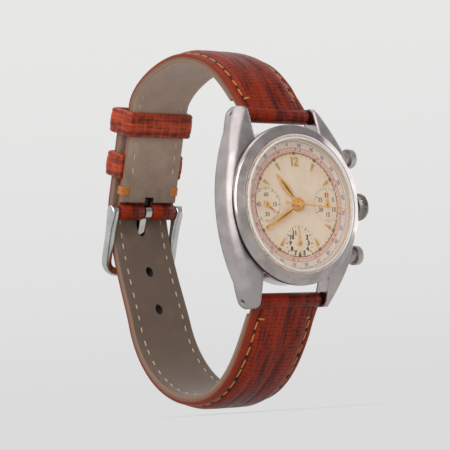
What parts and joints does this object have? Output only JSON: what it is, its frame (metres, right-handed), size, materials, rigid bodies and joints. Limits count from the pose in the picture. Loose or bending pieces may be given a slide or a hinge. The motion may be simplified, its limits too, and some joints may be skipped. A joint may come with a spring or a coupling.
{
  "type": "chronograph wristwatch",
  "caption": "Hand-wound chronograph wristwatch in steel with a domed crystal, sub-dials, pump pushers, drilled lugs and a padded leather strap on a pin buckle.",
  "frame": {"origin": "centre of the flat case back", "axes": "+X to 3 o'clock and the crown, +Y from the dial to the wrist, +Z to 12 o'clock"},
  "size_m": [0.0401, 0.0679, 0.0828],
  "materials": {
    "case_steel": "satin",
    "polished_steel": "polished",
    "crystal_clear": "clear",
    "dial_cream": "matt",
    "gilt": "polished",
    "movement_brass": "satin",
    "movement_steel": "satin",
    "blued_steel": "gloss",
    "gasket_rubber": "matt",
    "strap_leather": "satin",
    "strap_lining": "matt",
    "keeper_leather": "satin"
  },
  "bodies": {
    "case": {"mid_case": "case_steel", "bezel": "polished_steel", "crystal": "crystal_clear", "case_back": "case_steel", "case_back_gasket": "gasket_rubber", "crown_tube": "polished_steel", "pusher_tubes": "polished_steel", "lug_spring_bars": "polished_steel", "dial": "dial_cream", "hour_markers": "gilt", "movement_ring": "movement_brass", "main_plate": "movement_brass", "barrel_bridge": "movement_steel", "train_bridge": "movement_steel", "balance_cock": "movement_steel", "chronograph_bridge": "movement_steel", "bridge_screws": "blued_steel", "ratchet_wheel": "movement_steel", "hairspring": "blued_steel", "pusher_spring_start": "movement_steel", "pusher_spring_reset": "movement_steel", "buckle_strap": "strap_leather", "buckle_strap_lining": "strap_lining", "hole_strap": "strap_leather", "hole_strap_lining": "strap_lining", "fixed_keeper": "keeper_leather", "buckle_bar": "polished_steel"},
    "minute": {"centre_wheel": "movement_brass", "cannon_pinion": "movement_steel", "minute_hand": "gilt"},
    "motion_wheel": {"minute_wheel": "movement_brass"},
    "hour": {"hour_wheel": "movement_brass", "hour_hand": "gilt"},
    "third": {"third_wheel": "movement_brass"},
    "fourth": {"fourth_wheel": "movement_brass", "seconds_hand": "gilt"},
    "escape": {"escape_wheel": "movement_brass"},
    "power": {"barrel": "movement_brass", "mainspring": "movement_steel"},
    "chrono": {"chrono_runner": "movement_brass", "sweep_hand": "gilt"},
    "minute_counter": {"minute_counter_wheel": "movement_brass", "minute_counter_hand": "gilt"},
    "hour_counter": {"hour_counter_wheel": "movement_brass", "hour_counter_hand": "gilt"},
    "balance": {"balance_wheel": "gilt"},
    "pallet": {"pallet_fork": "movement_steel"},
    "winding": {"winding_pinion": "movement_steel"},
    "crown_unit": {"crown": "case_steel", "winding_stem": "polished_steel"},
    "start_button": {"pusher_start": "case_steel"},
    "reset_button": {"pusher_reset": "case_steel"},
    "loose_keeper": {"floating_keeper": "keeper_leather"},
    "buckle": {"buckle_frame": "polished_steel"},
    "tongue": {"buckle_tongue": "polished_steel"}
  },
  "joints": [
    {"name": "minute_turn", "type": "hinge", "parent": "case", "child": "minute", "pos_m": [0, 0, 0], "axis": [0, 1, 0], "continuous": true},
    {"name": "motion_wheel_turn", "type": "hinge", "parent": "case", "child": "motion_wheel", "pos_m": [0.0018, 0, 0.00312], "axis": [0, 1, 0], "continuous": true},
    {"name": "hour_turn", "type": "hinge", "parent": "case", "child": "hour", "pos_m": [0, 0, 0], "axis": [0, 1, 0], "continuous": true},
    {"name": "third_turn", "type": "hinge", "parent": "case", "child": "third", "pos_m": [-0.0047, 0, -0.00182], "axis": [0, 1, 0], "continuous": true},
    {"name": "seconds_turn", "type": "hinge", "parent": "case", "child": "fourth", "pos_m": [-0.00835, 0, 0], "axis": [0, 1, 0], "continuous": true},
    {"name": "escape_turn", "type": "hinge", "parent": "case", "child": "escape", "pos_m": [-0.00979, 0, 0.00308], "axis": [0, 1, 0], "continuous": true},
    {"name": "barrel_turn", "type": "hinge", "parent": "case", "child": "power", "pos_m": [0.00405, 0, 0.00483], "axis": [0, 1, 0], "continuous": true},
    {"name": "chrono_turn", "type": "hinge", "parent": "case", "child": "chrono", "pos_m": [0, 0, 0], "axis": [0, 1, 0], "continuous": true},
    {"name": "minute_counter_turn", "type": "hinge", "parent": "case", "child": "minute_counter", "pos_m": [0.00835, 0, 0], "axis": [0, 1, 0], "continuous": true},
    {"name": "hour_counter_turn", "type": "hinge", "parent": "case", "child": "hour_counter", "pos_m": [0, 0, -0.00835], "axis": [0, 1, 0], "continuous": true},
    {"name": "balance_swing", "type": "hinge", "parent": "case", "child": "balance", "pos_m": [-0.006, 0, 0.0074], "axis": [0, 1, 0], "range_deg": [-135, 135]},
    {"name": "pallet_swing", "type": "hinge", "parent": "case", "child": "pallet", "pos_m": [-0.00808, 0, 0.00502], "axis": [0, 1, 0], "range_deg": [-4, 4]},
    {"name": "crown_turn", "type": "hinge", "parent": "case", "child": "winding", "pos_m": [0, -0.0046, 0], "axis": [1, 0, 0], "continuous": true},
    {"name": "crown_pull", "type": "slide", "parent": "winding", "child": "crown_unit", "axis": [1, 0, 0], "range_m": [0, 0.001]},
    {"name": "start_press", "type": "slide", "parent": "case", "child": "start_button", "axis": [-1, 0, 0], "range_m": [0, 0.0008], "stiffness_N_per_m": 500, "deforming": ["pusher_spring_start"]},
    {"name": "reset_press", "type": "slide", "parent": "case", "child": "reset_button", "axis": [-1, 0, 0], "range_m": [0, 0.0008], "stiffness_N_per_m": 500, "deforming": ["pusher_spring_reset"]},
    {"name": "keeper_slide", "type": "slide", "parent": "case", "child": "loose_keeper", "axis": [0, -0.3156, 0.9489], "range_m": [-0.0045, 0.001]},
    {"name": "buckle_swing", "type": "hinge", "parent": "case", "child": "buckle", "pos_m": [0, 0.0489, 0.0049], "axis": [1, 0, 0], "range_deg": [-2.5, 0.3]},
    {"name": "tongue_swing", "type": "hinge", "parent": "case", "child": "tongue", "pos_m": [0, 0.0489, 0.0049], "axis": [1, 0, 0], "range_deg": [0, 1.2]}
  ],
  "couplings": [
    {"joint": "hour_turn", "follows": "minute_turn", "ratio": 0.083333},
    {"joint": "motion_wheel_turn", "follows": "minute_turn", "ratio": -0.33333},
    {"joint": "third_turn", "follows": "minute_turn", "ratio": -8},
    {"joint": "seconds_turn", "follows": "minute_turn", "ratio": 60},
    {"joint": "escape_turn", "follows": "minute_turn", "ratio": -600},
    {"joint": "barrel_turn", "follows": "minute_turn", "ratio": -0.16667},
    {"joint": "minute_counter_turn", "follows": "chrono_turn", "ratio": 0.033333},
    {"joint": "hour_counter_turn", "follows": "chrono_turn", "ratio": 0.0013889}
  ]
}
